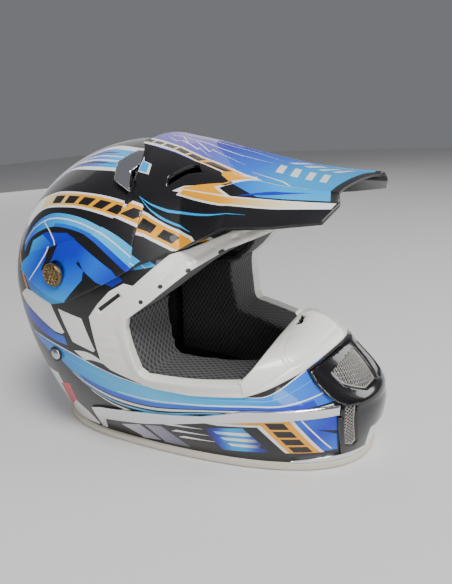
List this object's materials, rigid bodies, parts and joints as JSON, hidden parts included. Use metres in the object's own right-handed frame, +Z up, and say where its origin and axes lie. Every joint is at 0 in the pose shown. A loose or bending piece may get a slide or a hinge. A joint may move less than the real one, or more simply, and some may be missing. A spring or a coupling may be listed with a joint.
{
  "type": "motorcycle helmet",
  "caption": "off-road full-face helmet with an adjustable visor peak, open eye port, projecting chin bar with mesh vents, removable-look padding and a D-ring chin strap",
  "frame": {"origin": "Middle of the length and of the width, on the plane that the edge rubber stands on.", "axes": "+Z up; the helmet faces -Y, so +Y is towards the back of the head; the wearer's right side is -X; x = 0 is the mirror plane."},
  "size_m": [0.268, 0.3535, 0.2795],
  "materials": {
    "shell_paint": "clear-coated paint with sharp multicolour graphics",
    "liner_foam": "moulded bead foam, matt black",
    "knit_fabric": "diamond knit over soft padding",
    "edge_rubber": "cream edge rubber, satin",
    "frame_plastic": "white injection moulding, semi-gloss",
    "housing_plastic": "black injection moulding, glossy",
    "peak_plastic": "clear-coated moulding with graphics",
    "webbing": "woven nylon webbing",
    "ring_steel": "plated steel wire",
    "rivet_steel": "blackened steel",
    "grille_steel": "woven wire",
    "chrome_trim": "chrome-plated plastic",
    "screw_brass": "brass-toned, satin",
    "tab_fabric": "woven red tab"
  },
  "bodies": {
    "helmet": {"outer_shell": "shell_paint", "foam_liner": "liner_foam", "chin_foam": "liner_foam", "comfort_liner": "knit_fabric", "brow_roll": "knit_fabric", "neck_roll": "knit_fabric", "base_trim": "edge_rubber", "eye_port_frame": "frame_plastic", "mouth_guard": "frame_plastic", "chin_vent_housing": "housing_plastic", "chin_strap_right": "webbing", "chin_strap_left": "webbing", "d_ring_lower": "ring_steel", "d_ring_upper": "ring_steel", "strap_snap": "ring_steel", "strap_pull_tab": "tab_fabric", "cheek_pad_right": "knit_fabric", "cheek_pad_left": "knit_fabric", "upper_vent_mesh_right": "grille_steel", "upper_vent_mesh_left": "grille_steel", "lower_vent_mesh_right": "grille_steel", "lower_vent_mesh_left": "grille_steel", "side_strip_right": "chrome_trim", "side_strip_left": "chrome_trim", "front_wing_right": "chrome_trim", "front_wing_left": "chrome_trim", "rear_vent_right": "housing_plastic", "rear_vent_left": "housing_plastic", "screw_insert_right": "screw_brass", "screw_insert_left": "screw_brass", "strap_rivet_right": "rivet_steel", "strap_rivet_left": "rivet_steel", "strap_anchor_plate_right": "rivet_steel", "strap_anchor_plate_left": "rivet_steel"},
    "peak": {"peak": "peak_plastic", "peak_scoop_right": "chrome_trim", "peak_scoop_left": "chrome_trim"},
    "screw_right": {"side_screw_right": "screw_brass"},
    "screw_left": {"side_screw_left": "screw_brass"}
  },
  "joints": [
    {"name": "peak_tilt", "type": "hinge", "parent": "helmet", "child": "peak", "pos_m": [0, 0.058, 0.177], "axis": [-1, 0, 0], "range_deg": [0, 12]},
    {"name": "screw_right_turn", "type": "hinge", "parent": "helmet", "child": "screw_right", "pos_m": [-0.125, 0.058, 0.177], "axis": [-1, 0, 0], "continuous": true},
    {"name": "screw_left_turn", "type": "hinge", "parent": "helmet", "child": "screw_left", "pos_m": [0.125, 0.058, 0.177], "axis": [1, 0, 0], "continuous": true}
  ]
}
